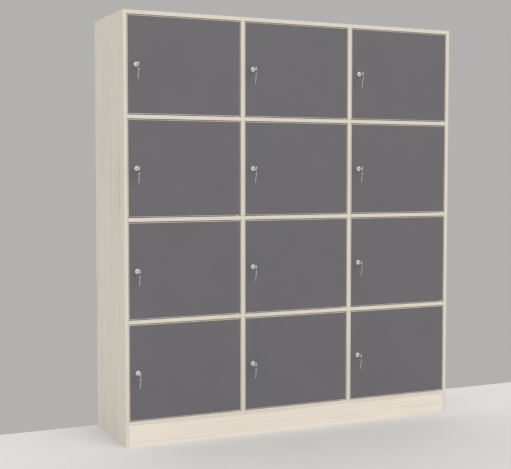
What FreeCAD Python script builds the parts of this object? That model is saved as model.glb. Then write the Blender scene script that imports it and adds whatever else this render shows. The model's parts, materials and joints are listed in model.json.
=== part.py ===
import FreeCAD, Part
import math
import os

V = FreeCAD.Vector
os.makedirs("parts", exist_ok=True)

# Locker unit. All sizes in mm. x runs to the right, y to the rear, z up.

# Carcass
unit_width = 1560.0
unit_depth = 400.0
board = 16.0
columns = 3
rows = 4
opening_height = 400.0
plinth_height = 88.0
edge_strip = 1.0
back_thickness = 4.0
back_rebate = 8.0
back_setback = 1.0

# Doors, set in flush with the front
door_gap = 3.0
lock_side_gap = 1.5
door_thickness = 16.0
door_edging = 2.0

# Pivots at the right of each door
pivot_inset = 12.0
pin_radius = 3.0
pin_in_door = 25.0
pin_in_bush = 7.0
bush_radius = 5.0
bush_blind_depth = 12.0
flange_radius = 6.5
running_clearance = 0.05
thrust_clearance = 0.1

# Cylinder lock
lock_inset = 35.5
head_base_radius = 11.0
head_face_radius = 9.0
head_height = 7.0
head_round = 1.5
barrel_radius = 9.0
barrel_past_door = 3.2
barrel_hole_clearance = 0.2
nut_across_flats = 24.0
nut_thickness = 3.0
plug_radius = 6.0
collar_radius = 7.0
collar_length = 1.5
plug_end_gap = 0.2
cam_thickness = 2.0
cam_hub_radius = 9.0
cam_end_radius = 7.0
cam_reach = 32.0
drive_square = 7.0
cam_screw_radius = 4.5
cam_screw_length = 3.0

# Keys: one in the lock, and a spare that hangs from it on a ring
key_thickness = 2.0
bow_height = 20.0
bow_length = 14.0
bow_hole_height = 12.0
bow_hole_length = 7.0
neck_length = 18.0
neck_height = 7.0
blade_length = 14.5
blade_height = 6.0
shoulder_gap = 1.0
notch_depths = (1.6, 2.4, 1.0, 2.0)
notch_land = 0.5
keyway_clearance = 0.1
keyway_end_gap = 1.5
ring_radius = 7.0
ring_wire_width = 1.0
ring_wire_depth = 1.4
ring_slack = 0.6
spare_key_lean = 8.0

# Strike plates behind the left of each door
strike_thickness = 2.0
strike_height = 40.0
strike_lip = 14.0
strike_depth = 22.0
strike_door_gap = 1.0

# Sizes that follow from the ones above
opening_width = (unit_width - (columns + 1) * board) / columns
column_pitch = opening_width + board
row_pitch = opening_height + board
floor_top = plinth_height + board
unit_height = floor_top + rows * row_pitch
door_width = opening_width - lock_side_gap - door_gap
door_height = opening_height - 2 * door_gap
inner_depth = unit_depth - back_setback - back_thickness
lock_x = lock_side_gap + lock_inset
lock_z = opening_height / 2
pivot_x = opening_width - door_gap - pivot_inset
pivot_y = door_thickness / 2
bush_bore_radius = pin_radius + running_clearance
barrel_end = door_thickness + barrel_past_door
cam_front = barrel_end + plug_end_gap
strike_front = door_thickness + strike_door_gap
bow_y = -(head_height + shoulder_gap + neck_length + bow_length / 2)
notch_pitch = (blade_length - blade_height / 2) / len(notch_depths)
ring_hang = bow_hole_height / 2 - ring_wire_width / 2 - ring_slack
spare_hang = bow_hole_length / 2 - ring_wire_width / 2 - ring_slack
ring_bottom = -ring_hang - 2 * ring_radius


def box(x0, x1, y0, y1, z0, z1):
    return Part.makeBox(x1 - x0, y1 - y0, z1 - z0, V(x0, y0, z0))


def rod_z(radius, x, y, z0, z1):
    return Part.makeCylinder(radius, z1 - z0, V(x, y, z0))


def rod_y(radius, x, z, y0, y1):
    return Part.makeCylinder(radius, y1 - y0, V(x, y0, z), V(0, 1, 0))


def face(points):
    loop = [V(*p) for p in points]
    return Part.Face(Part.makePolygon(loop + loop[:1]))


def group(solids):
    return Part.makeCompound(solids)


# One door and its lock, placed from the lower left front corner of its opening
def make_door():
    x0 = lock_side_gap
    x1 = lock_side_gap + door_width
    z0 = door_gap
    z1 = door_gap + door_height
    core_x0 = x0 + door_edging
    core_x1 = x1 - door_edging
    core_z0 = z0 + door_edging
    core_z1 = z1 - door_edging
    core = box(core_x0, core_x1, 0, door_thickness, core_z0, core_z1)
    left_strip = box(x0, core_x0, 0, door_thickness, z0, z1)
    right_strip = box(core_x1, x1, 0, door_thickness, z0, z1)
    low_pin = rod_z(pin_radius, pivot_x, pivot_y, -pin_in_bush, z0 + pin_in_door)
    high_pin = rod_z(pin_radius, pivot_x, pivot_y, z1 - pin_in_door, opening_height + pin_in_bush)
    low_strip = box(core_x0, core_x1, 0, door_thickness, z0, core_z0).cut(low_pin)
    high_strip = box(core_x0, core_x1, 0, door_thickness, core_z1, z1).cut(high_pin)
    barrel_hole = rod_y(barrel_radius + barrel_hole_clearance, lock_x, lock_z, 0, door_thickness)
    core = core.cut(low_pin).cut(high_pin).cut(barrel_hole)
    strips = [left_strip, right_strip, low_strip, high_strip]
    return group([core] + strips + [low_pin, high_pin, make_housing(), make_nut()])


def make_housing():
    head = Part.makeCone(
        head_base_radius, head_face_radius, head_height, V(lock_x, 0, lock_z), V(0, -1, 0)
    )
    rim = [edge for edge in head.Edges if edge.BoundBox.YMax < -head_height / 2]
    head = head.makeFillet(head_round, rim)
    barrel = rod_y(barrel_radius, lock_x, lock_z, 0, barrel_end)
    bore = rod_y(plug_radius + running_clearance, lock_x, lock_z, -head_height, barrel_end)
    seat_depth = collar_length + running_clearance
    seat = rod_y(
        collar_radius + running_clearance, lock_x, lock_z, -head_height, seat_depth - head_height
    )
    return head.fuse(barrel).removeSplitter().cut(bore).cut(seat)


def make_nut():
    corner = nut_across_flats / 2 / math.cos(math.pi / 6)
    points = []
    for i in range(6):
        angle = math.radians(60 * i)
        points.append((lock_x + corner * math.cos(angle), door_thickness, lock_z + corner * math.sin(angle)))
    nut = face(points).extrude(V(0, nut_thickness, 0))
    return nut.cut(rod_y(barrel_radius, lock_x, lock_z, door_thickness, barrel_end))


def make_plug():
    body = rod_y(plug_radius, lock_x, lock_z, -head_height, cam_front)
    collar = rod_y(collar_radius, lock_x, lock_z, -head_height, collar_length - head_height)
    half = drive_square / 2
    cam_back = cam_front + cam_thickness
    drive = box(lock_x - half, lock_x + half, cam_front, cam_back, lock_z - half, lock_z + half)
    half_x = key_thickness / 2 + keyway_clearance
    half_z = blade_height / 2 + keyway_clearance
    keyway_end = blade_length - shoulder_gap - head_height + keyway_end_gap
    keyway = box(lock_x - half_x, lock_x + half_x, -head_height, keyway_end, lock_z - half_z, lock_z + half_z)
    plug = body.fuse([collar, drive]).removeSplitter().cut(keyway)
    hub = rod_y(cam_hub_radius, lock_x, lock_z, cam_front, cam_back)
    tip_z = lock_z - cam_reach + cam_end_radius
    tip = rod_y(cam_end_radius, lock_x, tip_z, cam_front, cam_back)
    arm = box(lock_x - cam_end_radius, lock_x + cam_end_radius, cam_front, cam_back, tip_z, lock_z)
    cam = hub.fuse([arm, tip]).removeSplitter().cut(drive)
    screw = rod_y(cam_screw_radius, lock_x, lock_z, cam_back, cam_back + cam_screw_length)
    return group([plug, cam, screw])


# An oval as thick as a key, its longer way along y
def oval(height, length):
    curve = Part.Ellipse(V(0, 0, 0), height / 2, length / 2)
    outline = Part.Face(Part.Wire(curve.toShape()))
    outline.rotate(V(0, 0, 0), V(0, 0, 1), 90)
    return outline.extrude(V(0, 0, key_thickness))


# A key lying flat, its length along x from the middle of the bow and its thickness along z
def make_key():
    neck_end = bow_length / 2 + neck_length
    tip = neck_end + blade_length
    half_neck = neck_height / 2
    half_blade = blade_height / 2
    neck = face([(0, -half_neck, 0), (neck_end, -half_neck, 0), (neck_end, half_neck, 0), (0, half_neck, 0)])
    outline = [(0, -half_blade, 0), (tip - half_blade, -half_blade, 0), (tip, 0, 0)]
    outline.append((tip - half_blade, half_blade, 0))
    for i in reversed(range(len(notch_depths))):
        middle = neck_end + (i + 0.5) * notch_pitch
        half_notch = (notch_pitch - notch_land) / 2
        outline.append((middle + half_notch, half_blade, 0))
        outline.append((middle, half_blade - notch_depths[i], 0))
        outline.append((middle - half_notch, half_blade, 0))
    outline.append((0, half_blade, 0))
    flat = V(0, 0, key_thickness)
    bow = oval(bow_height, bow_length)
    solid = bow.fuse([neck.extrude(flat), face(outline).extrude(flat)]).removeSplitter()
    solid = solid.cut(oval(bow_hole_height, bow_hole_length))
    solid.translate(V(0, 0, -key_thickness / 2))
    return solid


def make_lock_key():
    key = make_key()
    key.rotate(V(0, 0, 0), V(1, 1, 1), 120)
    key.translate(V(lock_x, bow_y, lock_z))
    return key


def make_key_ring():
    ring_z = ring_bottom + ring_radius
    half_depth = ring_wire_depth / 2
    ring = rod_y(ring_radius + ring_wire_width / 2, 0, ring_z, -half_depth, half_depth)
    ring = ring.cut(rod_y(ring_radius - ring_wire_width / 2, 0, ring_z, -half_depth, half_depth))
    spare = make_key()
    spare.rotate(V(0, 0, 0), V(0, 1, 0), 90)
    spare.translate(V(0, 0, ring_bottom - spare_hang))
    spare.rotate(V(0, 0, ring_bottom), V(1, 0, 0), spare_key_lean)
    both = group([ring, spare])
    both.translate(V(lock_x, bow_y, lock_z))
    return both


def make_strike():
    z0 = lock_z - strike_height / 2
    z1 = lock_z + strike_height / 2
    leaf = box(0, strike_thickness, strike_front, strike_front + strike_depth, z0, z1)
    lip = box(0, strike_lip, strike_front, strike_front + strike_thickness, z0, z1)
    return leaf.fuse(lip).removeSplitter()


# Corner of the opening in one column and row, counted from the lower left
def opening_corner(column, row):
    x = -unit_width / 2 + board + column * column_pitch
    return V(x, 0, floor_top + row * row_pitch)


def board_left(index):
    return -unit_width / 2 + index * column_pitch


# Pivot places along one level, counted from the bottom panel up to the top panel
def pivot_places(level):
    return [
        opening_corner(column, 0) + V(pivot_x, pivot_y, level * row_pitch) for column in range(columns)
    ]


def make_bush(place, level):
    top = place.z
    low = top - board
    high = top + door_gap - thrust_clearance
    if level == 0:
        low = top - bush_blind_depth
    if level == rows:
        high = low + bush_blind_depth
    bush = rod_z(bush_radius, place.x, place.y, low, min(high, top))
    if level < rows:
        bush = bush.fuse(rod_z(flange_radius, place.x, place.y, top, high)).removeSplitter()
    return bush.cut(rod_z(bush_bore_radius, place.x, place.y, low, high))


def bush_hole(place, level):
    low = place.z - board
    high = place.z
    if level == 0:
        low = high - bush_blind_depth
    if level == rows:
        high = low + bush_blind_depth
    return rod_z(bush_radius, place.x, place.y, low, high)


# Level board between two x limits, with its front edging taken off and its bushes let in
def level_board(x0, x1, level):
    top = floor_top + level * row_pitch
    panel = box(x0, x1, edge_strip, inner_depth, top - board, top)
    for place in pivot_places(level):
        if x0 < place.x < x1:
            panel = panel.cut(bush_hole(place, level))
    return panel


def front_strip(x0, x1, z0, z1):
    return box(x0, x1, 0, edge_strip, z0, z1)


inner_left = board_left(0) + board
inner_right = board_left(columns)
outer_right = inner_right + board
deck_top = floor_top + rows * row_pitch - board
parts = {}

# Side panels, rebated at the rear for the back panel
left_side = box(board_left(0), inner_left, edge_strip, unit_depth, 0, unit_height)
left_rebate = box(inner_left - back_rebate, inner_left, inner_depth, unit_depth, plinth_height, unit_height)
right_side = box(inner_right, outer_right, edge_strip, unit_depth, 0, unit_height)
right_rebate = box(inner_right, inner_right + back_rebate, inner_depth, unit_depth, plinth_height, unit_height)
parts["left_side_panel"] = left_side.cut(left_rebate)
parts["right_side_panel"] = right_side.cut(right_rebate)
parts["top_panel"] = level_board(inner_left, inner_right, rows)
parts["bottom_panel"] = level_board(inner_left, inner_right, 0)

# Upright dividers, with the shelves butted between them
uprights = []
strips = [
    front_strip(board_left(0), inner_left, 0, unit_height),
    front_strip(inner_right, outer_right, 0, unit_height),
    front_strip(inner_left, inner_right, plinth_height, floor_top),
    front_strip(inner_left, inner_right, deck_top, unit_height),
]
for i in range(1, columns):
    x0 = board_left(i)
    uprights.append(box(x0, x0 + board, edge_strip, inner_depth, floor_top, deck_top))
    strips.append(front_strip(x0, x0 + board, floor_top, deck_top))
shelf_boards = []
for level in range(1, rows):
    top = floor_top + level * row_pitch
    for column in range(columns):
        x0 = opening_corner(column, 0).x
        shelf_boards.append(level_board(x0, x0 + opening_width, level))
        strips.append(front_strip(x0, x0 + opening_width, top - board, top))
parts["dividers"] = group(uprights)
parts["shelves"] = group(shelf_boards)
parts["carcass_edging"] = group(strips)

back_left = inner_left - back_rebate
back_right = inner_right + back_rebate
back_rear = inner_depth + back_thickness
parts["back_panel"] = box(back_left, back_right, inner_depth, back_rear, plinth_height, unit_height)

# Plinth board at the front, with a rear rail and a cross rail under each divider
parts["plinth_board"] = box(inner_left, inner_right, 0, board, 0, plinth_height)
rails = [box(inner_left, inner_right, inner_depth - board, inner_depth, 0, plinth_height)]
for i in range(1, columns):
    x0 = board_left(i)
    rails.append(box(x0, x0 + board, board, inner_depth - board, 0, plinth_height))
parts["plinth_rails"] = group(rails)

bushes = []
for level in range(rows + 1):
    for place in pivot_places(level):
        bushes.append(make_bush(place, level))
parts["hinge_bushes"] = group(bushes)

# Doors, locks and keys, numbered along each row from the top left
moving = {
    "door": make_door(),
    "lock_plug": make_plug(),
    "key": make_lock_key(),
    "key_ring": make_key_ring(),
}
strike = make_strike()
strikes = []
for n in range(1, columns * rows + 1):
    column = (n - 1) % columns
    row = rows - 1 - (n - 1) // columns
    corner = opening_corner(column, row)
    strikes.append(strike.translated(corner))
    for name, shape in moving.items():
        parts["%s_%02d" % (name, n)] = shape.translated(corner)
parts["strike_plates"] = group(strikes)

# The whole unit is centred front to rear over the reach of the keys
key_front = min(shape.optimalBoundingBox(False).YMin for shape in moving.values())
centre = V(0, -(key_front + unit_depth) / 2, 0)
for name, shape in parts.items():
    shape.translated(centre).exportStep("parts/" + name + ".step")
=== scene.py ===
import json
import math
import bpy
from mathutils import Matrix, Vector


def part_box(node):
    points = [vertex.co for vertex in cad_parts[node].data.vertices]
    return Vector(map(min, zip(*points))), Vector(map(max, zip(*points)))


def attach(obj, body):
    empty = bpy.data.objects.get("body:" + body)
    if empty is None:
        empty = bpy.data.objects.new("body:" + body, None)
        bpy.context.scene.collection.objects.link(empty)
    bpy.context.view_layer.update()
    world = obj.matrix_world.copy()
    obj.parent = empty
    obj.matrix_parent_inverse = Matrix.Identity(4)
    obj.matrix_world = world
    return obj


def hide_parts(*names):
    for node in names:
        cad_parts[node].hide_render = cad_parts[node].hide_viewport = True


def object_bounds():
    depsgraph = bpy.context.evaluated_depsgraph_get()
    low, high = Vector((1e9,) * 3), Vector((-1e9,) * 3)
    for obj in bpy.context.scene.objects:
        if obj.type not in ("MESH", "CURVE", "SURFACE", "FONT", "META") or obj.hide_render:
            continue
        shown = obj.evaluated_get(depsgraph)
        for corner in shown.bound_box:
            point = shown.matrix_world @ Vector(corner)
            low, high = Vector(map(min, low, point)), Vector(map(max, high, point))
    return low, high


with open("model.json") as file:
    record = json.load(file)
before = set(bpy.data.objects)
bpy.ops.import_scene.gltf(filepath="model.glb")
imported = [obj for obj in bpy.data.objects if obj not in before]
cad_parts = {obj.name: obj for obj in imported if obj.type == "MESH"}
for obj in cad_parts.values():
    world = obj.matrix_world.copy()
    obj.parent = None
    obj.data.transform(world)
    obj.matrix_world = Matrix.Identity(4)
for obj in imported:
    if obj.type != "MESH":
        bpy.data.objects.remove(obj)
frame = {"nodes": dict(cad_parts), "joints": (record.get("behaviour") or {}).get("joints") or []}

cadLow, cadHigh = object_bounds()
joints = {joint["name"]: joint for joint in frame["joints"]}
doorNumbers = sorted(name[-2:] for name in frame["nodes"] if name.startswith("door_"))
print("frame loaded:", len(frame["nodes"]), "nodes,", len(doorNumbers), "doors")


# shared helpers

def mm(value):
    return value * 0.001


weld = mm(0.001)    # points closer than this are one
sliver = mm(0.004)  # faces narrower than this are dissolved
touch = 1e-6        # metres within which a point lies on a plane


def hexColour(code):
    channels = [int(code[i:i + 2], 16) / 255 for i in (1, 3, 5)]
    linear = [c / 12.92 if c <= 0.04045 else ((c + 0.055) / 1.055) ** 2.4 for c in channels]
    return (*linear, 1.0)


def lockCentre(number):
    return Vector(joints["lock_turn_" + number]["pos_m"])


def clearSelection():
    if bpy.context.object and bpy.context.object.mode != "OBJECT":
        bpy.ops.object.mode_set(mode="OBJECT")
    bpy.ops.object.select_all(action="DESELECT")


def activate(piece):
    clearSelection()
    piece.select_set(True)
    bpy.context.view_layer.objects.active = piece


def settle(name):
    piece = bpy.context.object
    piece.name = name
    piece.data.name = name
    bpy.ops.object.transform_apply(location=True, rotation=True, scale=True)
    return piece


def addBlock(name, low, high):
    clearSelection()
    low = Vector(low)
    high = Vector(high)
    bpy.ops.mesh.primitive_cube_add(size=1, location=(low + high) / 2, scale=high - low)
    return settle(name)


def addRod(name, radius, start, length, sides=48):
    clearSelection()
    middle = Vector(start) + Vector((0, length / 2, 0))
    bpy.ops.mesh.primitive_cylinder_add(
        vertices=sides, radius=radius, depth=length, location=middle, rotation=(math.radians(90), 0, 0))
    return settle(name)


def useModifier(piece, kind, **settings):
    activate(piece)
    modifier = piece.modifiers.new(kind.lower(), kind)
    for key, value in settings.items():
        setattr(modifier, key, value)
    bpy.ops.object.modifier_apply(modifier=modifier.name)


def cutAway(piece, tool, operation="DIFFERENCE"):
    useModifier(piece, "BOOLEAN", object=tool, operation=operation, solver="EXACT")
    bpy.data.objects.remove(tool)


def roundEdges(piece, width, segments=2, angle=40):
    useModifier(piece, "BEVEL", width=width, segments=segments, limit_method="ANGLE",
                angle_limit=math.radians(angle), harden_normals=False)


def bevelEdges(piece, chosen, width, segments):
    # chosen: a test on the two ends of an edge
    activate(piece)
    bpy.context.tool_settings.mesh_select_mode = (False, True, False)
    for part in (*piece.data.vertices, *piece.data.polygons):
        part.select = False
    for edge in piece.data.edges:
        edge.select = chosen(*[piece.data.vertices[i].co for i in edge.vertices])
    bpy.ops.object.mode_set(mode="EDIT")
    bpy.ops.mesh.bevel(offset=width, segments=segments)
    bpy.ops.object.mode_set(mode="OBJECT")


def smoothFaces(piece, angle=35):
    activate(piece)
    bpy.ops.object.shade_smooth_by_angle(angle=math.radians(angle))
    useModifier(piece, "WEIGHTED_NORMAL", keep_sharp=True)


def copyPiece(piece, name, shift):
    twin = piece.copy()
    twin.data = piece.data.copy()
    twin.name = name
    twin.data.name = name
    twin.data.transform(Matrix.Translation(shift))
    bpy.context.scene.collection.objects.link(twin)
    return twin


def joinPieces(pieces, name):
    clearSelection()
    for piece in pieces:
        piece.select_set(True)
    bpy.context.view_layer.objects.active = pieces[0]
    if len(pieces) > 1:
        bpy.ops.object.join()
    pieces[0].name = name
    pieces[0].data.name = name
    return pieces[0]


def dress(piece, material, body, nodes=()):
    piece.data.materials.clear()
    piece.data.materials.append(material)
    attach(piece, body)
    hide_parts(*nodes)


def drawLine(points):
    # one vertex, then extruded from point to point
    clearSelection()
    bpy.ops.mesh.primitive_plane_add(size=1, location=points[0])
    bpy.ops.object.mode_set(mode="EDIT")
    bpy.ops.mesh.select_mode(type="VERT")
    bpy.ops.mesh.select_all(action="SELECT")
    bpy.ops.mesh.merge(type="CENTER")
    for last, new in zip(points, points[1:]):
        step = Vector(new) - Vector(last)
        bpy.ops.mesh.extrude_region_move(TRANSFORM_OT_translate={"value": step})
    bpy.ops.mesh.select_all(action="SELECT")
    bpy.ops.mesh.remove_doubles(threshold=weld)
    bpy.ops.mesh.select_all(action="SELECT")


def orderMesh(piece):
    # points and faces in one fixed order, because merging leaves them in a new one each run
    loose = piece.data
    points = [tuple(vertex.co) for vertex in loose.vertices]
    order = sorted(range(len(points)), key=points.__getitem__)
    place = {old: new for new, old in enumerate(order)}
    faces = []
    for polygon in loose.polygons:
        corners = [place[i] for i in polygon.vertices]
        first = corners.index(min(corners))
        faces.append(corners[first:] + corners[:first])
    piece.data = bpy.data.meshes.new(piece.name)
    piece.data.from_pydata([points[i] for i in order], [], sorted(faces))
    bpy.data.meshes.remove(loose)


def spinProfile(name, centre, profile, steps=64, solid=False):
    # profile: list of (radius, depth) round an axis that runs front to rear
    # a solid has its two ends filled flat, other profiles are closed
    points = [centre + Vector((radius, depth, 0)) for radius, depth in profile]
    drawLine(points if solid else points + points[:1])
    bpy.ops.mesh.spin(steps=steps, angle=2 * math.pi, center=centre, axis=(0, 1, 0))
    bpy.ops.mesh.select_all(action="SELECT")
    bpy.ops.mesh.remove_doubles(threshold=weld)
    if solid:
        bpy.ops.mesh.fill_holes(sides=0)
        bpy.ops.mesh.select_all(action="SELECT")
    bpy.ops.mesh.normals_make_consistent(inside=False)
    bpy.ops.object.mode_set(mode="OBJECT")
    piece = settle(name)
    orderMesh(piece)
    return piece


def plateFromOutline(name, points, step):
    # closed flat outline, filled and drawn out by step
    drawLine(points + points[:1])
    bpy.ops.mesh.edge_face_add()
    bpy.ops.mesh.extrude_region_move(TRANSFORM_OT_translate={"value": step})
    bpy.ops.mesh.select_all(action="SELECT")
    bpy.ops.mesh.normals_make_consistent(inside=False)
    bpy.ops.object.mode_set(mode="OBJECT")
    return settle(name)


def dissolveSlivers(piece):
    activate(piece)
    bpy.ops.object.mode_set(mode="EDIT")
    bpy.ops.mesh.select_all(action="SELECT")
    bpy.ops.mesh.remove_doubles(threshold=sliver)
    bpy.ops.mesh.dissolve_degenerate(threshold=sliver)
    bpy.ops.object.mode_set(mode="OBJECT")
    orderMesh(piece)


def addNode(tree, kind, values=None, links=None, **settings):
    node = tree.nodes.new(kind)
    for key, value in settings.items():
        setattr(node, key, value)
    for socket, value in (values or {}).items():
        node.inputs[socket].default_value = value
    for socket, source in (links or {}).items():
        tree.links.new(source, node.inputs[socket])
    return node


def newMaterial(name, **shaderValues):
    material = bpy.data.materials.new(name)
    material.use_nodes = True
    tree = material.node_tree
    shader = tree.nodes["Principled BSDF"]
    for socket, value in shaderValues.items():
        shader.inputs[socket.replace("_", " ")].default_value = value
    return material, tree, shader


def setRamp(node, stops):
    stops = list(stops)
    ramp = node.color_ramp
    while len(ramp.elements) < len(stops):
        ramp.elements.new(0.5)
    for element, (place, code) in zip(ramp.elements, stops):
        element.position = place
        element.color = hexColour(code)


# materials

birch = {
    "streakWidth": 9.0,     # mm across the grain
    "streakLength": 420.0,  # mm along it
    "poreWidth": 1.6,
    "poreLength": 60.0,
    "poreShare": 0.3,       # the rest of the pattern is streaks
    "roughness": 0.55,
    "bump": 0.06,
    "bumpDepth": 0.2,
    "stops": (0.68, 0.5, 0.32),                   # where the pale, middle and deep tones stand in the pattern
    "board": ("#E4DDD1", "#DCD5C8", "#CEC5B7"),
    "edge": ("#E2DBCC", "#DED6C7", "#D6CDBC"),
    "plinth": ("#F2E8DC", "#EBE2D4", "#E1D8C8"),
}
upright, across = 2, 0  # axis that the grain follows


def birchLaminate(name, grainAxis, tones):
    # birch-pattern melamine on chipboard: print under a matt film, soft straight streaks and fine pores
    material, tree, shader = newMaterial(name, Roughness=birch["roughness"], IOR=1.5)
    place = addNode(tree, "ShaderNodeTexCoord").outputs["Object"]

    def grain(width, length, **look):
        scale = [1 / mm(width)] * 3
        scale[grainAxis] = 1 / mm(length)
        stretched = addNode(tree, "ShaderNodeMapping", {"Scale": scale}, {"Vector": place}).outputs["Vector"]
        return addNode(tree, "ShaderNodeTexNoise", {"Scale": 1.0, **look}, {"Vector": stretched})

    streak = grain(birch["streakWidth"], birch["streakLength"], Detail=5.0, Roughness=0.6, Distortion=0.35)
    pore = grain(birch["poreWidth"], birch["poreLength"], Detail=3.0, Roughness=0.7)
    mixed = addNode(tree, "ShaderNodeMix", {"Factor": birch["poreShare"]},
                    {"A": streak.outputs["Fac"], "B": pore.outputs["Fac"]})
    ramp = addNode(tree, "ShaderNodeValToRGB", links={"Fac": mixed.outputs["Result"]})
    setRamp(ramp, reversed(list(zip(birch["stops"], tones))))
    tree.links.new(ramp.outputs["Color"], shader.inputs["Base Color"])
    bump = addNode(tree, "ShaderNodeBump", {"Strength": birch["bump"], "Distance": mm(birch["bumpDepth"])},
                   {"Height": pore.outputs["Fac"]})
    tree.links.new(bump.outputs["Normal"], shader.inputs["Normal"])
    return material


fibreboard = {
    "fleck": 2.2,  # mm across a fibre bundle
    "stops": (0.3, 0.5, 0.7),
    "tones": ("#8F7353", "#A68A67", "#B59B78"),
}


def backBoard():
    # thin fibreboard: birch print on the inside, bare brown fibres with darker flecks on the outside
    material = birchLaminate("printedFibreboard", upright, birch["board"])
    tree = material.node_tree
    shader = tree.nodes["Principled BSDF"]
    printed = shader.inputs["Base Color"].links[0].from_socket
    place = addNode(tree, "ShaderNodeTexCoord").outputs["Object"]
    look = {"Scale": 1 / mm(fibreboard["fleck"]), "Detail": 5.0, "Roughness": 0.7}
    fleck = addNode(tree, "ShaderNodeTexNoise", look, {"Vector": place})
    fibre = addNode(tree, "ShaderNodeValToRGB", links={"Fac": fleck.outputs["Fac"]})
    setRamp(fibre, zip(fibreboard["stops"], fibreboard["tones"]))
    low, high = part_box("back_panel")
    depth = addNode(tree, "ShaderNodeSeparateXYZ", links={"Vector": place}).outputs["Y"]
    outside = addNode(tree, "ShaderNodeMath", {1: (low.y + high.y) / 2}, {0: depth}, operation="GREATER_THAN")
    mixed = addNode(tree, "ShaderNodeMix",
                    links={0: outside.outputs[0], 6: printed, 7: fibre.outputs["Color"]}, data_type="RGBA")
    tree.links.new(mixed.outputs[2], shader.inputs["Base Color"])
    return material


boardUpright = birchLaminate("birchLaminateUpright", upright, birch["board"])
boardAcross = birchLaminate("birchLaminateAcross", across, birch["board"])
backFinish = backBoard()
plinthFinish = birchLaminate("birchLaminatePlinth", across, birch["plinth"])
edgeUpright = birchLaminate("birchEdgeUpright", upright, birch["edge"])
edgeAcross = birchLaminate("birchEdgeAcross", across, birch["edge"])

greyLaminate = {
    "pearl": 1.4,      # mm across a dimple
    "pearlDepth": 0.1,
    "cloud": 160.0,    # mm across a faint change of tone
    "roughness": 0.48,
    "bump": 0.12,
    "stops": (0.35, 0.65),
    "tones": ("#666467", "#686669"),
}


def doorLaminate():
    # grey melamine with a pearl texture: small pressed dimples that scatter the light, no gloss
    material, tree, shader = newMaterial("greyMelamine", Roughness=greyLaminate["roughness"], IOR=1.5)
    place = addNode(tree, "ShaderNodeTexCoord").outputs["Object"]
    cloud = addNode(tree, "ShaderNodeTexNoise", {"Scale": 1 / mm(greyLaminate["cloud"]), "Detail": 4.0},
                    {"Vector": place})
    ramp = addNode(tree, "ShaderNodeValToRGB", links={"Fac": cloud.outputs["Fac"]})
    setRamp(ramp, zip(greyLaminate["stops"], greyLaminate["tones"]))
    tree.links.new(ramp.outputs["Color"], shader.inputs["Base Color"])
    pearl = addNode(tree, "ShaderNodeTexNoise", {"Scale": 1 / mm(greyLaminate["pearl"]), "Detail": 2.0},
                    {"Vector": place})
    bump = addNode(tree, "ShaderNodeBump",
                   {"Strength": greyLaminate["bump"], "Distance": mm(greyLaminate["pearlDepth"])},
                   {"Height": pearl.outputs["Fac"]})
    tree.links.new(bump.outputs["Normal"], shader.inputs["Normal"])
    return material


doorFinish = doorLaminate()


plating = {
    # tones: dull and bright; smudge: mm across; roughness: from and to
    "brightNickelPlate": {
        "tones": ("#EBE9E9", "#F3F1F1"), "smudge": 3.0, "roughness": (0.2, 0.3), "metallic": 0.75},
    "satinNickelPlate": {
        "tones": ("#EBE9E9", "#F3F1F1"), "smudge": 3.0, "roughness": (0.42, 0.52), "metallic": 0.45},
    "nickelPlatedBrass": {
        "tones": ("#E4E2E4", "#F0EEEF"), "smudge": 4.0, "roughness": (0.26, 0.4), "metallic": 0.75},
    "dullSteelWire": {
        "tones": ("#919196", "#A2A2A6"), "smudge": 2.0, "roughness": (0.35, 0.5), "metallic": 1.0},
    "zincPlatedSteel": {
        "tones": ("#B2B5B9", "#C9CBCE"), "smudge": 6.0, "roughness": (0.35, 0.5), "metallic": 1.0},
}
platingStops = (0.3, 0.7)
paintedSideShadeTone = "#B9B9BD"  # painted shade: darkens the plating on a key's flat sides


def platedMetal(name):
    # plated metal: even colour, with faint smudges that break up the gloss
    look = plating[name]
    material, tree, shader = newMaterial(name, Metallic=look["metallic"])
    place = addNode(tree, "ShaderNodeTexCoord").outputs["Object"]
    noise = addNode(tree, "ShaderNodeTexNoise", {"Scale": 1 / mm(look["smudge"]), "Detail": 4.0}, {"Vector": place})
    ramp = addNode(tree, "ShaderNodeValToRGB", links={"Fac": noise.outputs["Fac"]})
    setRamp(ramp, zip(platingStops, look["tones"]))
    tree.links.new(ramp.outputs["Color"], shader.inputs["Base Color"])
    low, high = look["roughness"]
    rough = addNode(tree, "ShaderNodeMapRange", {"To Min": low, "To Max": high},
                    {"Value": noise.outputs["Fac"]})
    tree.links.new(rough.outputs["Result"], shader.inputs["Roughness"])
    return material


nickel = platedMetal("brightNickelPlate")     # polished lock heads
satinNickel = platedMetal("satinNickelPlate")  # brushed plug faces, softer gloss
ringSteel = platedMetal("dullSteelWire")      # thin greyish wire
zinc = platedMetal("zincPlatedSteel")         # bluish grey screws, cams and plates


def keyMetalWithPaintedShade():
    # nickel-plated key blank with painted shade: its flat sides are darkened to grey, its edges keep the bright
    # plating
    material = platedMetal("nickelPlatedBrass")
    tree = material.node_tree
    shader = tree.nodes["Principled BSDF"]
    edge = shader.inputs["Base Color"].links[0].from_socket
    # face attribute that says where the painted shade darkens the key's flat sides
    shadeShare = addNode(tree, "ShaderNodeAttribute", attribute_name="keySide").outputs["Fac"]
    mixed = addNode(tree, "ShaderNodeMix", {7: hexColour(paintedSideShadeTone)}, {0: shadeShare, 6: edge},
                    data_type="RGBA", blend_type="MULTIPLY")
    tree.links.new(mixed.outputs[2], shader.inputs["Base Color"])
    return material


keyNickel = keyMetalWithPaintedShade()


nylonBush = {
    "mottle": 5.0,  # mm across a cloudy patch
    "stops": (0.3, 0.7),
    "tones": ("#DAD6CA", "#E4E0D5"),
}


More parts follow.
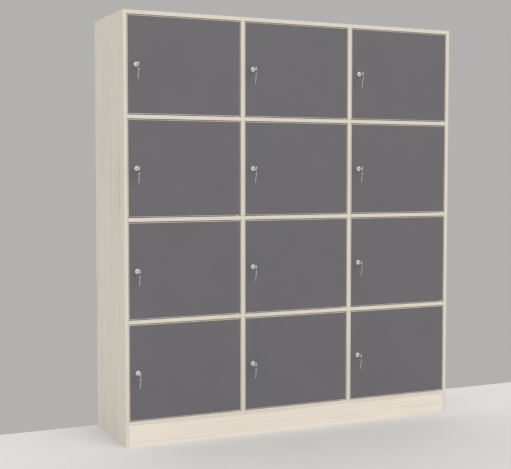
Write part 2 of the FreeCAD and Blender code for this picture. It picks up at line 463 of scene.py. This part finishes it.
def nylonFinish():
    # natural nylon: waxy off-white, slightly uneven
    material, tree, shader = newMaterial("naturalNylon", Roughness=0.45, IOR=1.53)
    place = addNode(tree, "ShaderNodeTexCoord").outputs["Object"]
    noise = addNode(tree, "ShaderNodeTexNoise", {"Scale": 1 / mm(nylonBush["mottle"]), "Detail": 2.0},
                    {"Vector": place})
    ramp = addNode(tree, "ShaderNodeValToRGB", links={"Fac": noise.outputs["Fac"]})
    setRamp(ramp, zip(nylonBush["stops"], nylonBush["tones"]))
    tree.links.new(ramp.outputs["Color"], shader.inputs["Base Color"])
    return material


nylon = nylonFinish()
print("materials made")


# carcass: CAD boards keep their shape and take the laminate

boardFinishes = {
    "left_side_panel": boardUpright, "right_side_panel": boardUpright, "dividers": boardUpright,
    "back_panel": backFinish, "top_panel": boardAcross, "bottom_panel": boardAcross, "shelves": boardAcross,
    "plinth_board": plinthFinish, "plinth_rails": boardAcross, "carcass_edging": edgeUpright,
    "hinge_bushes": nylon, "strike_plates": zinc,
}
for node, material in boardFinishes.items():
    frame["nodes"][node].data.materials.clear()
    frame["nodes"][node].data.materials.append(material)
for number in doorNumbers:
    for node, material in (("lock_plug_", satinNickel), ("key_", keyNickel), ("key_ring_", ringSteel)):
        mesh = frame["nodes"][node + number].data
        mesh.materials.clear()
        mesh.materials.append(material)
print("carcass dressed")


# doors: one is modelled, then copied to each opening

door = {
    "thickness": 16.0,
    "edging": 2.0,
    "edgingRound": 0.8,
    "pinReach": 10.0,   # how far the pivot pins stand out of the door's edges
    "pinLength": 35.0,
    "pinRadius": 3.0,
    "pinRound": 0.5,
}
firstLock = lockCentre(doorNumbers[0])
firstPivot = Vector(joints["door_hinge_" + doorNumbers[0]]["pos_m"])
doorLow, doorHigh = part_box("door_" + doorNumbers[0])
frontY = firstLock.y
leftX, rightX = doorLow.x, doorHigh.x
bottomZ, topZ = doorLow.z + mm(door["pinReach"]), doorHigh.z - mm(door["pinReach"])
rearY = frontY + mm(door["thickness"])


def doorPanel():
    rim = mm(door["edging"])
    return addBlock("doorPanel", (leftX + rim, frontY, bottomZ + rim), (rightX - rim, rearY, topZ - rim))


def doorEdging():
    # flat frame, thickened front to rear, with its outer corners rounded
    clearSelection()
    middle = ((leftX + rightX) / 2, frontY, (bottomZ + topZ) / 2)
    bpy.ops.mesh.primitive_plane_add(size=1, location=middle, rotation=(math.radians(90), 0, 0))
    bpy.context.object.scale = (rightX - leftX, topZ - bottomZ, 1)
    piece = settle("doorEdging")
    bpy.ops.object.mode_set(mode="EDIT")
    bpy.ops.mesh.select_all(action="SELECT")
    bpy.ops.mesh.inset(thickness=mm(door["edging"]))
    bpy.ops.mesh.delete(type="FACE")
    bpy.ops.mesh.select_all(action="SELECT")
    bpy.ops.mesh.extrude_region_move(TRANSFORM_OT_translate={"value": (0, rearY - frontY, 0)})
    bpy.ops.mesh.select_all(action="SELECT")
    bpy.ops.mesh.normals_make_consistent(inside=False)
    bpy.ops.object.mode_set(mode="OBJECT")
    half = mm(door["edging"]) / 2

    def outerRim(a, b):
        outer = all(min(p.x - leftX, rightX - p.x, p.z - bottomZ, topZ - p.z) < half for p in (a, b))
        return outer and abs(a.y - b.y) < half

    bevelEdges(piece, outerRim, mm(door["edgingRound"]), 3)
    orderMesh(piece)
    return piece


def pivotPins():
    pins = []
    length = mm(door["pinLength"])
    for start in (doorLow.z, doorHigh.z - length):
        clearSelection()
        middle = (firstPivot.x, firstPivot.y, start + length / 2)
        bpy.ops.mesh.primitive_cylinder_add(
            vertices=32, radius=mm(door["pinRadius"]), depth=length, location=middle)
        pins.append(settle("pivotPin"))
    piece = joinPieces(pins, "pivotPins")
    roundEdges(piece, mm(door["pinRound"]))
    smoothFaces(piece)
    return piece


lock = {
    "boreRadius": 6.05,
    "seatRadius": 7.05,
    "seatDepth": 1.55,
    "headRadius": 11.0,
    "headHeight": 7.0,
    "faceRadius": 8.2,
    "rimHeight": 0.25,      # share of the head's height below its curve
    "curveSteps": 8,
    "barrelRadius": 9.0,
    "barrelEnd": 19.2,
    "barrelClearance": 0.2,
    "nutWidth": 24.0,
    "nutThickness": 3.0,
    "nutRound": 0.4,
    "overcut": 5.0,         # how far a cutting rod stands out at each end
}


def lockHousing():
    front = -lock["headHeight"]
    rim = lock["rimHeight"] * front
    reach = lock["headRadius"] - lock["faceRadius"]
    dome = []
    for i in range(lock["curveSteps"] + 1):  # quarter curve from the head's rim to its face
        angle = math.radians(90 * i / lock["curveSteps"])
        dome.append((lock["faceRadius"] + reach * math.cos(angle), rim + (front - rim) * math.sin(angle)))
    profile = [(lock["boreRadius"], lock["barrelEnd"]), (lock["barrelRadius"], lock["barrelEnd"]),
               (lock["barrelRadius"], 0), (lock["headRadius"], 0)] + dome
    profile += [(lock["seatRadius"], front), (lock["seatRadius"], front + lock["seatDepth"]),
                (lock["boreRadius"], front + lock["seatDepth"])]
    piece = spinProfile("lockHousing", firstLock, [(mm(r), mm(y)) for r, y in profile])
    smoothFaces(piece, 30)
    return piece


def lockNut():
    clearSelection()
    corner = mm(lock["nutWidth"]) / 2 / math.cos(math.radians(30))
    depth = mm(lock["nutThickness"])
    bpy.ops.mesh.primitive_cylinder_add(
        vertices=6, radius=corner, depth=depth, rotation=(math.radians(90), 0, 0),
        location=(firstLock.x, rearY + depth / 2, firstLock.z))
    piece = settle("lockNut")
    roundEdges(piece, mm(lock["nutRound"]), 2)
    over = mm(lock["overcut"])
    start = Vector((firstLock.x, rearY - over, firstLock.z))
    cutAway(piece, addRod("nutBore", mm(lock["barrelRadius"]), start, depth + 2 * over))
    smoothFaces(piece, 30)
    return piece


def barrelHole(piece):
    over = mm(lock["overcut"])
    radius = mm(lock["barrelRadius"] + lock["barrelClearance"])
    start = firstLock - Vector((0, over, 0))
    cutAway(piece, addRod("barrelBore", radius, start, mm(door["thickness"]) + 2 * over))
    return piece


doorPieces = [
    (barrelHole(doorPanel()), doorFinish, "door_laminate", "door"),
    (doorEdging(), edgeUpright, "birch_edging", "door"),
    (pivotPins(), zinc, "strike_steel", "door"),
    (lockHousing(), nickel, "lock_metal", "door"),
    (lockNut(), zinc, "strike_steel", "door"),
]


def placeCopies(pieces):
    for model, material, slot, node in pieces:
        base = model.name
        for number in doorNumbers:
            piece = copyPiece(model, base + "_" + number, lockCentre(number) - firstLock)
            dress(piece, material, "%s_%s_body" % (node, number), ["%s_%s" % (node, number)])
        bpy.data.objects.remove(model)


placeCopies(doorPieces)
print("doors placed:", len(doorNumbers))


# lock plug, cam and cam screw: they turn together

plug = {
    "radius": 6.0,
    "collarRadius": 7.0,
    "collarLength": 1.5,
    "collarRound": 0.3,
    "steps": 48,           # faces round the plug
    "camFront": 19.4,      # behind the door's front
    "camThickness": 2.0,
    "camHubRadius": 9.0,
    "camEndRadius": 7.0,
    "camReach": 32.0,
    "camRound": 0.35,
    "camHubSteps": 40,
    "camEndSteps": 24,
    "screwRadius": 4.5,
    "screwHeight": 3.0,
    "slotWidth": 2.2,
    "slotHeight": 6.2,
    "slotEnd": 8.0,
    "slotOvercut": 2.0,    # how far the cutting block stands out in front
}


def lockPlug():
    front = -lock["headHeight"]
    edge = plug["collarRound"]
    collarEnd = front + plug["collarLength"]
    profile = [(plug["collarRadius"] - edge, front), (plug["collarRadius"], front + edge),
               (plug["collarRadius"], collarEnd), (plug["radius"], collarEnd),
               (plug["radius"], plug["camFront"])]
    profile = [(mm(radius), mm(depth)) for radius, depth in profile]
    piece = spinProfile("lockPlug", firstLock, profile, plug["steps"], solid=True)
    half = Vector((mm(plug["slotWidth"]) / 2, 0, mm(plug["slotHeight"]) / 2))
    slotStart = Vector((0, mm(front - plug["slotOvercut"]), 0))
    slotEnd = Vector((0, mm(plug["slotEnd"]), 0))
    cutAway(piece, addBlock("keySlot", firstLock - half + slotStart, firstLock + half + slotEnd))
    smoothFaces(piece, 30)
    return piece


def lockCam():
    # round hub that runs into a flat arm with a rounded tip, and a soft stamped edge
    front = firstLock + Vector((0, mm(plug["camFront"]), 0))
    hub, end = plug["camHubRadius"], plug["camEndRadius"]
    meet = math.asin(end / hub)  # where the arm leaves the hub, from straight down
    hubSteps, endSteps = plug["camHubSteps"], plug["camEndSteps"]
    outline = []
    for i in range(hubSteps + 1):
        angle = meet + 2 * (math.pi - meet) * i / hubSteps
        outline.append((hub * math.sin(angle), -hub * math.cos(angle)))
    for i in range(endSteps + 1):
        angle = math.pi * i / endSteps
        outline.append((-end * math.cos(angle), end - plug["camReach"] - end * math.sin(angle)))
    points = [front + Vector((mm(x), 0, mm(z))) for x, z in outline]
    piece = plateFromOutline("lockCam", points, (0, mm(plug["camThickness"]), 0))
    roundEdges(piece, mm(plug["camRound"]), 2, 60)
    smoothFaces(piece, 40)
    return piece


screw = {
    "domeHeight": 0.6,     # shares of the head's height
    "recessDepth": 0.5,
    "domeReach": 0.5,      # shares of its radius
    "recessReach": 0.62,
    "recessWidth": 0.14,
}


def crossScrew(name, centre, radius, height, facing):
    # pan head: a rod with a domed rim and a cross recess, its face towards +y or -y
    clearSelection()
    bpy.ops.mesh.primitive_cylinder_add(
        vertices=32, radius=radius, depth=height, rotation=(math.radians(90), 0, 0),
        location=centre + Vector((0, facing * height / 2, 0)))
    piece = settle(name)
    outer = centre.y + facing * height

    def rim(a, b):
        return max(abs(a.y - outer), abs(b.y - outer)) < touch

    bevelEdges(piece, rim, min(height * screw["domeHeight"], radius * screw["domeReach"]), 4)
    spot = Vector((centre.x, outer, centre.z))
    long, short = radius * screw["recessReach"], radius * screw["recessWidth"]
    for wide, tall in ((long, short), (short, long)):
        reach = Vector((wide, height * screw["recessDepth"], tall))
        cutAway(piece, addBlock("screwRecess", spot - reach, spot + reach))
    smoothFaces(piece, 40)
    return piece


def camScrew():
    spot = firstLock + Vector((0, mm(plug["camFront"] + plug["camThickness"]), 0))
    return crossScrew("camScrew", spot, mm(plug["screwRadius"]), mm(plug["screwHeight"]), 1)


# keys: the one in the lock, and a spare on a split ring below it

key = {
    "thickness": 2.0,
    "bowHeight": 20.0,
    "bowLength": 14.0,
    "holeHeight": 12.0,
    "holeLength": 7.0,
    "neckLength": 18.0,
    "neckHeight": 7.0,
    "bladeLength": 14.5,
    "bladeHeight": 6.0,
    "bowCentre": -33.0,     # in front of the door
    "notches": (1.6, 2.4, 1.0, 2.0),
    "notchLand": 0.5,
    "groove": (0.4, 1.4),   # depth and width of the channel along the blade
    "grooveFoot": -1.2,     # lower side of the channel from the blade's middle
    "grooveStart": 0.6,     # behind the shoulder
    "grooveOvercut": 1.0,   # past the tip
    "round": 0.25,
    "flat": 0.95,           # a face that points this much sideways is a flat side
    "ringRadius": 7.0,
    "ringWidth": 1.0,
    "ringDepth": 1.4,
    "ringTurns": 2,
    "ringLayers": 3.08,     # thicknesses of wire, with the air between them, in the ring's depth
    "ringSteps": 144,
    "wireRound": 0.12,
    "ringHang": 4.9,        # middle of the ring's wire from the middle of the bow's hole
    "spareHang": 2.4,       # the same on the spare key
    "lean": 8.0,            # degrees that the spare key hangs off upright
    "neckMatt": 0.1,        # painted highlight: the neck sides of the key in use get only a tenth of the painted side shade
    # the spare key's neck sides get the full painted side shade
    "spareNeckMatt": 1.0,
}
bowCentre = firstLock + Vector((0, mm(key["bowCentre"]), 0))


def addOval(name, height, length, thick):
    clearSelection()
    bpy.ops.mesh.primitive_cylinder_add(
        vertices=64, radius=0.5, depth=thick, location=bowCentre, rotation=(0, math.radians(90), 0))
    bpy.context.object.scale = (mm(height), mm(length), 1)
    return settle(name)


def lockKey():
    thick = mm(key["thickness"])
    piece = addOval("lockKey", key["bowHeight"], key["bowLength"], thick)
    half = mm(key["neckHeight"]) / 2
    shoulder = bowCentre.y + mm(key["bowLength"] / 2 + key["neckLength"])
    root = bowCentre.y + mm(key["bowLength"] + key["holeLength"]) / 4  # in the bow's rim, clear of the hole
    neck = addBlock("keyNeck", (bowCentre.x - thick / 2, root, bowCentre.z - half),
                    (bowCentre.x + thick / 2, shoulder, bowCentre.z + half))
    cutAway(piece, neck, "UNION")
    cutAway(piece, keyBlade(shoulder), "UNION")
    cutAway(piece, addOval("bowHole", key["holeHeight"], key["holeLength"], 3 * thick))
    roundEdges(piece, mm(key["round"]), 2, 35)
    dissolveSlivers(piece)
    smoothFaces(piece, 35)
    return piece


def paintSideShade(piece, neckMatt):
    # painted shade on each face: edges 0, flat sides 1, and the sides of the neck as given
    sides = piece.data.attributes.new("keySide", "FLOAT", "FACE")
    neckStart = bowCentre.y + mm(key["bowLength"]) / 2
    neckEnd = neckStart + mm(key["neckLength"])
    for polygon, shadeShare in zip(piece.data.polygons, sides.data):
        onNeck = neckStart < polygon.center.y < neckEnd
        onSide = abs(polygon.normal.x) > key["flat"]
        shadeShare.value = (neckMatt if onNeck else 1.0) if onSide else 0.0


def keyBlade(shoulder):
    half = mm(key["bladeHeight"]) / 2
    tip = shoulder + mm(key["bladeLength"])
    pitch = (mm(key["bladeLength"]) - half) / len(key["notches"])
    root = shoulder - mm(key["neckLength"]) / 2
    outline = [(root, -half), (tip - half, -half), (tip, 0), (tip - half, half)]
    for i in reversed(range(len(key["notches"]))):
        middle = shoulder + (i + 0.5) * pitch
        reach = (pitch - mm(key["notchLand"])) / 2
        outline += [(middle + reach, half), (middle, half - mm(key["notches"][i])), (middle - reach, half)]
    outline.append((root, half))
    thick = mm(key["thickness"])
    points = [Vector((bowCentre.x - thick / 2, y, bowCentre.z + z)) for y, z in outline]
    piece = plateFromOutline("keyBlade", points, (thick, 0, 0))
    deep, wide = (mm(v) for v in key["groove"])
    foot = bowCentre.z + mm(key["grooveFoot"])
    start, end = shoulder + mm(key["grooveStart"]), tip + mm(key["grooveOvercut"])
    for face in (bowCentre.x - thick / 2, bowCentre.x + thick / 2):
        cutAway(piece, addBlock("keyGroove", (face - deep, start, foot), (face + deep, end, foot + wide)))
    return piece


def splitRing():
    # flat wire wound round twice: a small oblong section carried along a screw path
    centre = bowCentre - Vector((0, 0, mm(key["ringHang"] + key["ringRadius"])))
    turns = key["ringTurns"]
    wire = mm(key["ringDepth"]) / key["ringLayers"]
    climb = mm(key["ringDepth"]) - wire
    start = centre.y - mm(key["ringDepth"]) / 2
    inner = mm(key["ringRadius"] - key["ringWidth"] / 2)
    outer = mm(key["ringRadius"] + key["ringWidth"] / 2)
    corners = [(inner, 0), (outer, 0), (outer, wire), (inner, wire)]
    points = [Vector((0, y, -r)) for r, y in corners]
    drawLine(points + points[:1])
    bpy.ops.mesh.bevel(offset=mm(key["wireRound"]), segments=2, affect="VERTICES")
    bpy.ops.object.mode_set(mode="OBJECT")
    piece = settle("splitRing")
    useModifier(piece, "SCREW", axis="Y", angle=turns * 2 * math.pi, screw_offset=climb,
                steps=key["ringSteps"], render_steps=key["ringSteps"], use_normal_calculate=True)
    bpy.ops.object.mode_set(mode="EDIT")
    bpy.ops.mesh.select_all(action="SELECT")
    bpy.ops.mesh.fill_holes(sides=0)
    bpy.ops.mesh.select_all(action="SELECT")
    bpy.ops.mesh.normals_make_consistent(inside=False)
    bpy.ops.object.mode_set(mode="OBJECT")
    piece.data.transform(Matrix.Translation(Vector((centre.x, start, centre.z))))
    smoothFaces(piece, 35)
    return piece


def spareKey(model):
    piece = copyPiece(model, "spareKey", Vector())
    # painted shade on the spare key's flat sides, its neck included
    paintSideShade(piece, key["spareNeckMatt"])
    # blade turned down, let down by its bow, then leaned about the ring's lowest point
    ringFoot = bowCentre - Vector((0, 0, mm(key["ringHang"] + 2 * key["ringRadius"])))
    down = Matrix.Rotation(math.radians(-90), 4, "X") @ Matrix.Translation(-bowCentre)
    hang = Matrix.Translation((0, 0, -mm(key["spareHang"])))
    lean = Matrix.Translation(ringFoot) @ Matrix.Rotation(math.radians(key["lean"]), 4, "X")
    piece.data.transform(lean @ hang @ down)
    return piece


mainKey = lockKey()
spare = spareKey(mainKey)
# painted shade on the key in use, with a painted highlight left on its neck sides
paintSideShade(mainKey, key["neckMatt"])
lockPieces = [
    (lockPlug(), satinNickel, "lock_metal", "lock_plug"),
    (lockCam(), zinc, "strike_steel", "lock_plug"),
    (camScrew(), zinc, "strike_steel", "lock_plug"),
    (spare, keyNickel, "key_metal", "key_ring"),
    (mainKey, keyNickel, "key_metal", "key"),
    (splitRing(), ringSteel, "ring_metal", "key_ring"),
]
placeCopies(lockPieces)
print("locks and keys placed")


# edge bands on the fronts of the boards, and the screws that hold plates and back

carcass = {
    "board": 16.0,
    "doorGap": 3.0,
    "lockSideGap": 1.5,
    "band": 1.0,
    "bandRound": 0.5,
    "plateScrew": (3.4, 1.6),   # radius and height of the head
    "plateScrewPlaces": ((2.0, 31.0, -12.0), (2.0, 31.0, 12.0)),
    "backScrew": (3.5, 0.8),
    "backScrewPitch": 150.0,
    "backScrewInset": 30.0,     # from the back's upright edges
}


def edgeBand(low, high):
    piece = addBlock("edgeBand", low, high)

    def longFrontEdge(a, b):
        atFront = max(a.y, b.y) - low[1] < touch
        return atFront and (a - b).length > mm(2 * carcass["board"])

    bevelEdges(piece, longFrontEdge, mm(carcass["bandRound"]), 3)
    return piece


def placeBands():
    gap = mm(carcass["doorGap"])
    lockGap = mm(carcass["lockSideGap"])
    wide = mm(carcass["board"])
    band = mm(carcass["band"])
    boxes = [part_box("door_" + number) for number in doorNumbers]
    lefts = sorted({round(low.x - lockGap, 6) for low, high in boxes})
    rights = sorted({round(high.x + gap, 6) for low, high in boxes})
    reach = mm(door["pinReach"])
    floors = sorted({round(low.z + reach - gap, 6) for low, high in boxes})
    heads = sorted({round(high.z - reach + gap, 6) for low, high in boxes})
    uprights = [(lefts[0] - wide, 0, cadHigh.z), (rights[-1], 0, cadHigh.z)]
    uprights += [(right, floors[0], heads[-1]) for right in rights[:-1]]
    standing = [edgeBand((x, frontY, z0), (x + wide, frontY + band, z1)) for x, z0, z1 in uprights]
    lying = [edgeBand((lefts[0], frontY, z), (rights[-1], frontY + band, z + wide))
             for z in (floors[0] - wide, heads[-1])]
    for z in heads[:-1]:
        lying += [edgeBand((x0, frontY, z), (x1, frontY + band, z + wide)) for x0, x1 in zip(lefts, rights)]
    for pieces, name, material in ((standing, "uprightEdgeBands", edgeUpright),
                                   (lying, "levelEdgeBands", edgeAcross)):
        dress(joinPieces(pieces, name), material, "carcass", ["carcass_edging"])
    return rights, floors, heads


def plateScrews():
    radius, height = (mm(v) for v in carcass["plateScrew"])
    model = crossScrew("plateScrew", Vector(), radius, height, -1)
    model.data.transform(Matrix.Rotation(math.radians(90), 4, "Z"))
    screws = []
    left = leftX - mm(carcass["lockSideGap"])
    for number in doorNumbers:
        corner = lockCentre(number) - firstLock + Vector((left, frontY, firstLock.z))
        for place in carcass["plateScrewPlaces"]:
            screws.append(copyPiece(model, "plateScrew", corner + Vector([mm(v) for v in place])))
    bpy.data.objects.remove(model)
    dress(joinPieces(screws, "plateScrews"), zinc, "carcass")


def backScrews(rights, floors, heads):
    radius, height = (mm(v) for v in carcass["backScrew"])
    low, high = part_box("back_panel")
    model = crossScrew("backScrew", Vector((0, high.y, 0)), radius, height, 1)
    half = mm(carcass["board"]) / 2
    levels = [floors[0] - half, heads[-1] + half]
    pitch, inset = mm(carcass["backScrewPitch"]), mm(carcass["backScrewInset"])
    count = round((high.x - low.x) / pitch)
    step = (high.x - low.x - 2 * inset) / count
    places = [(low.x + inset + i * step, z) for z in levels for i in range(count + 1)]
    count = round((levels[1] - levels[0]) / pitch)
    step = (levels[1] - levels[0]) / count
    places += [(right + half, levels[0] + i * step) for right in rights[:-1] for i in range(1, count)]
    screws = [copyPiece(model, "backScrew", Vector((x, 0, z))) for x, z in places]
    bpy.data.objects.remove(model)
    dress(joinPieces(screws, "backScrews"), zinc, "carcass")


openingRights, openingFloors, openingHeads = placeBands()
plateScrews()
backScrews(openingRights, openingFloors, openingHeads)
print("edge bands and screws placed")


# stage, light and camera

stage = {
    "wallColour": "#B2B1AF",
    "wallGap": 30.0,        # mm behind the unit
    "floorColours": ("#E3E2E1", "#E5E4E3"),
    "floorStops": (0.3, 0.7),
    "floorReach": 14.0,     # metres from the middle to the edge
    "worldStrength": 0.9,
    "keyStrength": 0.63,
    "keyFrom": (0.35, -0.75, 0.55),
    "keyDistance": 6,
    "keySpread": 35.0,      # degrees, for soft shadows
}


def stageFloor():
    clearSelection()
    bpy.ops.mesh.primitive_plane_add(size=2 * stage["floorReach"], location=(0, 0, 0))
    floor = settle("stageFloor")
    material, tree, shader = newMaterial("paleFloor", Roughness=0.7)
    place = addNode(tree, "ShaderNodeTexCoord").outputs["Object"]
    noise = addNode(tree, "ShaderNodeTexNoise", {"Scale": 3.0, "Detail": 3.0}, {"Vector": place})
    ramp = addNode(tree, "ShaderNodeValToRGB", links={"Fac": noise.outputs["Fac"]})
    setRamp(ramp, zip(stage["floorStops"], stage["floorColours"]))
    tree.links.new(ramp.outputs["Color"], shader.inputs["Base Color"])
    floor.data.materials.append(material)


def stageWall():
    # the wall's grey behind the unit: seen from the front only, and it stops no light
    clearSelection()
    bpy.ops.mesh.primitive_plane_add(size=2 * stage["floorReach"], rotation=(math.radians(90), 0, 0),
                                     location=(0, cadHigh.y + mm(stage["wallGap"]), 0))
    wall = settle("stageWall")
    material, tree, shader = newMaterial("wallBackdrop")
    rear = addNode(tree, "ShaderNodeNewGeometry").outputs["Backfacing"]
    rays = addNode(tree, "ShaderNodeLightPath")
    seen = addNode(tree, "ShaderNodeMath", links={0: rays.outputs["Is Camera Ray"], 1: rear},
                   operation="GREATER_THAN")
    clear = addNode(tree, "ShaderNodeBsdfTransparent")
    grey = addNode(tree, "ShaderNodeEmission", {"Color": hexColour(stage["wallColour"]), "Strength": 1.0})
    mixed = addNode(tree, "ShaderNodeMixShader",
                    links={0: seen.outputs[0], 1: clear.outputs[0], 2: grey.outputs[0]})
    tree.links.new(mixed.outputs[0], tree.nodes["Material Output"].inputs["Surface"])
    wall.data.materials.append(material)


def stageLight():
    world = bpy.data.worlds.new("studio")
    bpy.context.scene.world = world
    world.use_nodes = True
    tree = world.node_tree
    rays = addNode(tree, "ShaderNodeLightPath")
    seen = rays.outputs["Is Camera Ray"]
    for ray in ("Is Glossy Ray", "Is Transmission Ray"):
        either = addNode(tree, "ShaderNodeMath", links={0: seen, 1: rays.outputs[ray]}, operation="MAXIMUM")
        seen = either.outputs[0]
    light = tree.nodes["Background"]
    light.inputs["Color"].default_value = (1, 1, 1, 1)
    light.inputs["Strength"].default_value = stage["worldStrength"]
    shown = addNode(tree, "ShaderNodeBackground", {"Color": hexColour(stage["wallColour"]), "Strength": 1.0})
    mixed = addNode(tree, "ShaderNodeMixShader",
                    links={0: seen, 1: light.outputs[0], 2: shown.outputs[0]})
    tree.links.new(mixed.outputs[0], tree.nodes["World Output"].inputs["Surface"])
    clearSelection()
    bpy.ops.object.light_add(type="SUN", location=Vector(stage["keyFrom"]) * stage["keyDistance"])
    lamp = bpy.context.object
    lamp.name = "keyLight"
    lamp.data.energy = stage["keyStrength"]
    lamp.data.angle = math.radians(stage["keySpread"])
    lamp.rotation_euler = (-Vector(stage["keyFrom"])).to_track_quat("-Z", "Y").to_euler()


view = {
    "fromLeftFront": (-1286.1, -4056.3, 1120.2),  # mm from the unit's lower left front corner
    "turn": 24.718,    # degrees to the right of straight ahead
    "dip": 3.383,      # degrees below level
    "focal": 74.10,
    "sensor": 36.0,
    "reach": 100,      # metres that the camera sees
}


def photoCamera():
    clearSelection()
    corner = Vector((cadLow.x, frontY, 0))
    spot = corner + Vector([mm(v) for v in view["fromLeftFront"]])
    angles = (math.radians(90 - view["dip"]), 0, math.radians(-view["turn"]))
    bpy.ops.object.camera_add(location=spot, rotation=angles)
    camera = bpy.context.object
    camera.name = "photoCamera"
    camera.data.sensor_fit = "HORIZONTAL"
    camera.data.sensor_width = view["sensor"]
    camera.data.lens = view["focal"]
    camera.data.clip_end = view["reach"]
    bpy.context.scene.camera = camera


stageFloor()
stageWall()
stageLight()
photoCamera()
bpy.context.scene.view_settings.view_transform = "Standard"
print("stage, light and camera set")
